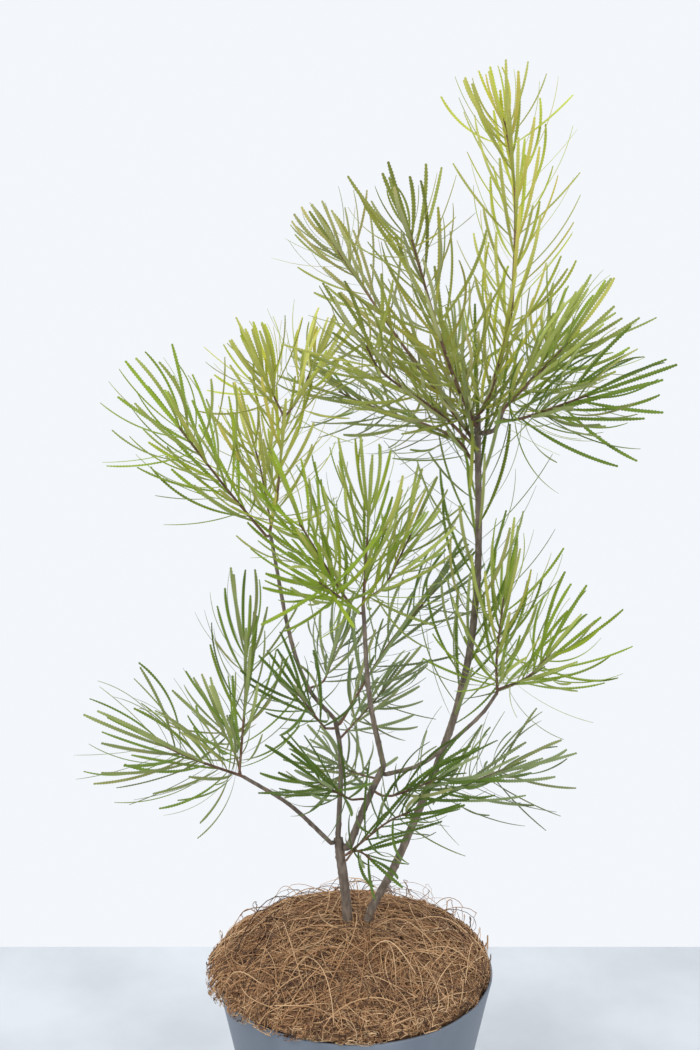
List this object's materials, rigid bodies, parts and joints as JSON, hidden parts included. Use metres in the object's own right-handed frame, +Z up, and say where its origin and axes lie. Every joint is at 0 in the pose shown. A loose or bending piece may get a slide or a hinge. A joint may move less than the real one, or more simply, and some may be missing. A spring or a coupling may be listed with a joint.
{
  "type": "potted hairpin banksia",
  "caption": "Young hairpin banksia with slender toothed leaves on two stems, in a round tapered pot mulched with coconut fibre.",
  "frame": {"origin": "centre of the pot's flat underside", "axes": "+Z up along the pot's axis; +X to the right and +Y to the back, seen from the front"},
  "size_m": [0.4773, 0.318, 1.0143],
  "materials": {
    "pot": "slate grey, faintly marbled",
    "soil": "damp potting mix",
    "coir": "loose coconut fibre",
    "bark": "grey-brown bark",
    "leaf": "leathery green leaf",
    "young_leaf": "young yellow-green leaf"
  },
  "bodies": {
    "root": {"pot": "pot", "soil": "soil", "coir_mulch": "coir", "left_stem": "bark", "right_stem": "bark", "low_left_bough": "bark", "centre_bough": "bark", "centre_upper_bough": "bark", "middle_bough": "bark", "middle_upper_bough": "bark", "right_low_bough": "bark", "crooked_bough": "bark", "low_left_spray": "leaf", "lowest_sprig": "leaf", "low_front_sprig": "leaf", "centre_left_sprig": "leaf", "centre_back_spray": "leaf", "centre_back_sprig": "leaf", "inner_back_sprig": "leaf", "upper_left_spray": "leaf", "young_left_spray": "leaf", "low_inner_sprig": "leaf", "inner_rear_sprig": "leaf", "low_right_sprig": "leaf", "right_spray": "leaf", "middle_top_spray": "leaf", "middle_front_spray": "leaf", "right_back_sprig": "leaf", "leader_spray": "young_leaf", "crown_back_sprig": "leaf", "near_front_spray": "young_leaf", "crown_left_spray": "young_leaf", "crown_left_low_sprig": "leaf", "crown_left_back_sprig": "leaf", "crown_right_spray": "leaf", "crown_right_low_sprig": "leaf"}
  },
  "joints": []
}
